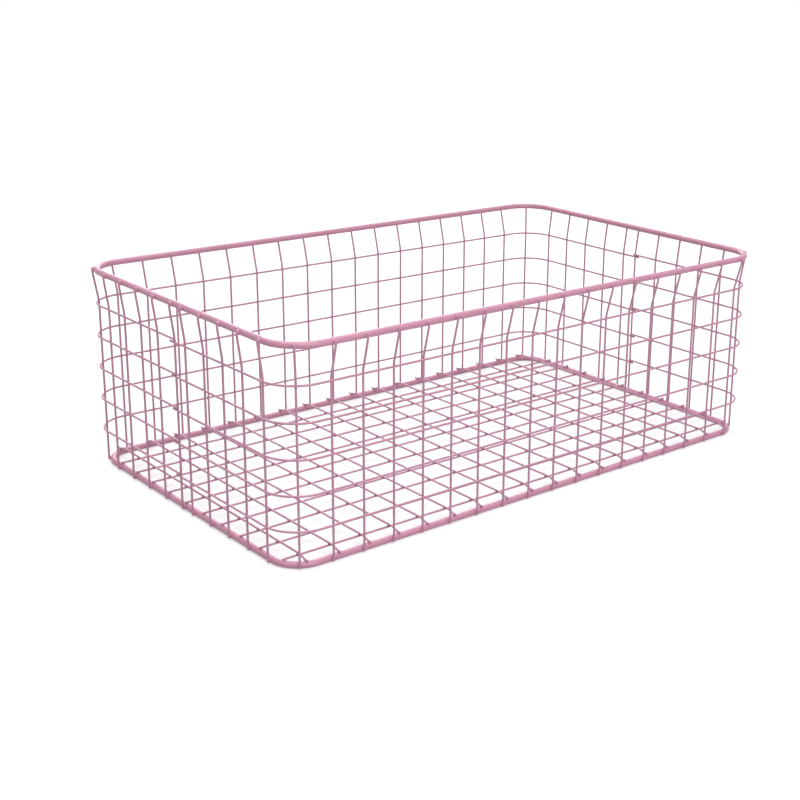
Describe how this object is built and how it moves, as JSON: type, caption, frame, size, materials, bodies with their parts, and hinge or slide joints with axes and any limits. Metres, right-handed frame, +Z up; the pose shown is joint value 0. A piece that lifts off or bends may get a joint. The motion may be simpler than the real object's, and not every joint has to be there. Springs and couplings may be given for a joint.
{
  "type": "wire drawer basket",
  "caption": "Rectangular open-topped wire mesh drawer basket with rounded corners, two rod rims, flared mesh walls lapped at the sides and a wire grid base, powder-coated pink.",
  "frame": {"origin": "centre of the basket's footprint, on the surface that it stands on", "axes": "+X along the basket's length, +Y towards its back, +Z up"},
  "size_m": [0.4676, 0.289, 0.1572],
  "materials": {
    "rod_coat": "satin dusty pink powder coat on steel rod",
    "wall_coat": "satin dusty pink powder coat on steel wire",
    "base_coat": "satin dusty pink powder coat on steel wire"
  },
  "bodies": {
    "root": {"top_rim": "rod_coat", "bottom_rim": "rod_coat", "front_uprights_and_top_row": "wall_coat", "back_uprights_and_top_row": "wall_coat", "front_row_wire_1": "wall_coat", "front_row_wire_2": "wall_coat", "front_row_wire_3": "wall_coat", "front_row_wire_4": "wall_coat", "back_row_wire_1": "wall_coat", "back_row_wire_2": "wall_coat", "back_row_wire_3": "wall_coat", "back_row_wire_4": "wall_coat", "base_cross_wire_01": "base_coat", "base_cross_wire_02": "base_coat", "base_cross_wire_03": "base_coat", "base_cross_wire_04": "base_coat", "base_cross_wire_05": "base_coat", "base_cross_wire_06": "base_coat", "base_cross_wire_07": "base_coat", "base_cross_wire_08": "base_coat", "base_cross_wire_09": "base_coat", "base_cross_wire_10": "base_coat", "base_cross_wire_11": "base_coat", "base_cross_wire_12": "base_coat", "base_cross_wire_13": "base_coat", "base_cross_wire_14": "base_coat", "base_cross_wire_15": "base_coat", "base_cross_wire_16": "base_coat", "base_cross_wire_17": "base_coat", "base_cross_wire_18": "base_coat", "base_long_wire_01": "base_coat", "base_long_wire_02": "base_coat", "base_long_wire_03": "base_coat", "base_long_wire_04": "base_coat", "base_long_wire_05": "base_coat", "base_long_wire_06": "base_coat", "base_long_wire_07": "base_coat", "base_long_wire_08": "base_coat", "base_long_wire_09": "base_coat", "base_long_wire_10": "base_coat"}
  },
  "joints": []
}
